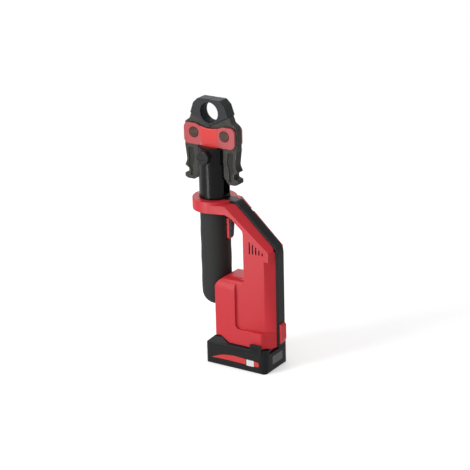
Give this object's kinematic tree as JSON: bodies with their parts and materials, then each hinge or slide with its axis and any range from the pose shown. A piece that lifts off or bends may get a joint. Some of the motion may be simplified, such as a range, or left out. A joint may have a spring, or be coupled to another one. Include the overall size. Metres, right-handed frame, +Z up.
{
  "type": "battery press tool",
  "caption": "Upright battery press tool for plastic pipe: D-shaped handle with a round grip, slide-on battery, swivelling hydraulic head and scissor jaws with a ribbed round press contour.",
  "frame": {"origin": "on the cylinder axis, in the plane of the battery's underside", "axes": "+Z up along the cylinder axis to the jaws, +X from the cylinder to the spine, -Y to the side with the locking pin's knob"},
  "size_m": [0.1845, 0.077, 0.4615],
  "materials": {
    "red_plastic": "semi-gloss moulded plastic",
    "black_plastic": "fine textured plastic",
    "grip_rubber": "matt soft rubber",
    "lead_rubber": "wire insulation",
    "steel": "ground steel",
    "dark_steel": "oiled dark steel",
    "black_steel": "black finished forged steel",
    "red_metal": "red paint on steel",
    "bronze": "bearing bronze",
    "copper": "copper",
    "aluminium": "turned aluminium",
    "cells": "wrapped cells",
    "board": "circuit board"
  },
  "bodies": {
    "handle": {"housing_left": "red_plastic", "housing_right": "red_plastic", "spine_cover": "black_plastic", "housing_screws": "dark_steel", "grip_sleeve": "grip_rubber", "core_tube": "aluminium", "core_end_cap": "aluminium", "motor_can": "dark_steel", "stator": "copper", "motor_bearings": "steel", "ring_gear": "dark_steel", "pump_block": "aluminium", "pump_plunger": "steel", "plunger_spring": "steel", "carrier_bearing": "steel", "swivel_bush": "bronze", "trigger_bezel": "black_plastic", "trigger_switch": "black_plastic", "control_board": "board", "board_parts": "black_plastic", "board_screws": "steel", "return_switch": "black_plastic", "terminal_block": "black_plastic", "terminal_blades": "copper", "motor_leads": "lead_rubber"},
    "trigger": {"trigger": "red_plastic", "trigger_pad": "grip_rubber"},
    "return_button": {"return_button": "red_plastic"},
    "rotor": {"rotor": "steel", "sun_gear": "steel"},
    "carrier": {"planet_carrier": "steel"},
    "planet_1": {"planet_gear_1": "bronze"},
    "planet_2": {"planet_gear_2": "bronze"},
    "planet_3": {"planet_gear_3": "bronze"},
    "press_head": {"press_cylinder": "black_steel", "rod_gland": "bronze", "swivel_ring": "steel", "jaw_plate_front": "red_metal", "jaw_plate_rear": "red_metal", "jaw_pins": "dark_steel", "ram_spring": "steel"},
    "ram": {"piston_rod": "steel", "piston_seal": "grip_rubber", "roller_yoke": "dark_steel", "roller_pins": "steel"},
    "roller_left": {"roller_left": "steel"},
    "roller_right": {"roller_right": "steel"},
    "locking_pin": {"locking_pin": "steel"},
    "jaw_left": {"jaw_left": "black_steel"},
    "jaw_right": {"jaw_right": "black_steel"},
    "battery": {"battery_tray": "black_plastic", "battery_lid": "black_plastic", "battery_cells": "cells", "cell_holders": "black_plastic", "battery_board": "board", "battery_terminals": "copper", "battery_screws": "dark_steel"},
    "latch_left": {"latch_left": "black_plastic"},
    "latch_right": {"latch_right": "black_plastic"}
  },
  "joints": [
    {"name": "trigger_press", "type": "slide", "parent": "handle", "child": "trigger", "axis": [-1, 0, 0], "range_m": [0, 0.0025], "stiffness_N_per_m": 1200, "springref_m": -0.001},
    {"name": "return_press", "type": "slide", "parent": "handle", "child": "return_button", "axis": [-1, 0, 0], "range_m": [0, 0.0025], "stiffness_N_per_m": 1200, "springref_m": -0.001},
    {"name": "rotor_spin", "type": "hinge", "parent": "handle", "child": "rotor", "pos_m": [0, 0, 0.12], "axis": [0, 0, 1], "continuous": true},
    {"name": "carrier_spin", "type": "hinge", "parent": "handle", "child": "carrier", "pos_m": [0, 0, 0.17], "axis": [0, 0, 1], "continuous": true},
    {"name": "planet_1_spin", "type": "hinge", "parent": "carrier", "child": "planet_1", "pos_m": [0.0105, 0, 0.16], "axis": [0, 0, 1], "continuous": true},
    {"name": "planet_2_spin", "type": "hinge", "parent": "carrier", "child": "planet_2", "pos_m": [-0.00525, 0.00909, 0.16], "axis": [0, 0, 1], "continuous": true},
    {"name": "planet_3_spin", "type": "hinge", "parent": "carrier", "child": "planet_3", "pos_m": [-0.00525, -0.00909, 0.16], "axis": [0, 0, 1], "continuous": true},
    {"name": "head_swivel", "type": "hinge", "parent": "handle", "child": "press_head", "pos_m": [0, 0, 0.27], "axis": [0, 0, 1], "range_deg": [-135, 135]},
    {"name": "ram_slide", "type": "slide", "parent": "press_head", "child": "ram", "axis": [0, 0, 1], "range_m": [-0.03, 0], "deforming": ["ram_spring"]},
    {"name": "roller_left_spin", "type": "hinge", "parent": "ram", "child": "roller_left", "pos_m": [-0.0088, 0, 0.345], "axis": [0, 1, 0], "continuous": true},
    {"name": "roller_right_spin", "type": "hinge", "parent": "ram", "child": "roller_right", "pos_m": [0.0088, 0, 0.345], "axis": [0, 1, 0], "continuous": true},
    {"name": "locking_pin_slide", "type": "slide", "parent": "press_head", "child": "locking_pin", "axis": [0, -1, 0], "range_m": [0, 0.044]},
    {"name": "jaw_left_pivot", "type": "hinge", "parent": "press_head", "child": "jaw_left", "pos_m": [-0.03, 0, 0.402], "axis": [0, -1, 0], "range_deg": [0, 12]},
    {"name": "jaw_right_pivot", "type": "hinge", "parent": "press_head", "child": "jaw_right", "pos_m": [0.03, 0, 0.402], "axis": [0, 1, 0], "range_deg": [0, 12]},
    {"name": "battery_slide", "type": "slide", "parent": "handle", "child": "battery", "axis": [-1, 0, 0], "range_m": [0, 0.085]},
    {"name": "latch_left_press", "type": "slide", "parent": "battery", "child": "latch_left", "axis": [0, 1, 0], "range_m": [0, 0.002], "stiffness_N_per_m": 1000, "springref_m": -0.001},
    {"name": "latch_right_press", "type": "slide", "parent": "battery", "child": "latch_right", "axis": [0, -1, 0], "range_m": [0, 0.002], "stiffness_N_per_m": 1000, "springref_m": -0.001}
  ],
  "couplings": [
    {"joint": "carrier_spin", "follows": "rotor_spin", "ratio": 0.2},
    {"joint": "planet_1_spin", "follows": "rotor_spin", "ratio": -0.53333},
    {"joint": "planet_2_spin", "follows": "rotor_spin", "ratio": -0.53333},
    {"joint": "planet_3_spin", "follows": "rotor_spin", "ratio": -0.53333},
    {"joint": "jaw_left_pivot", "follows": "ram_slide", "rad_per_m": -6.9813},
    {"joint": "jaw_right_pivot", "follows": "ram_slide", "rad_per_m": -6.9813}
  ]
}
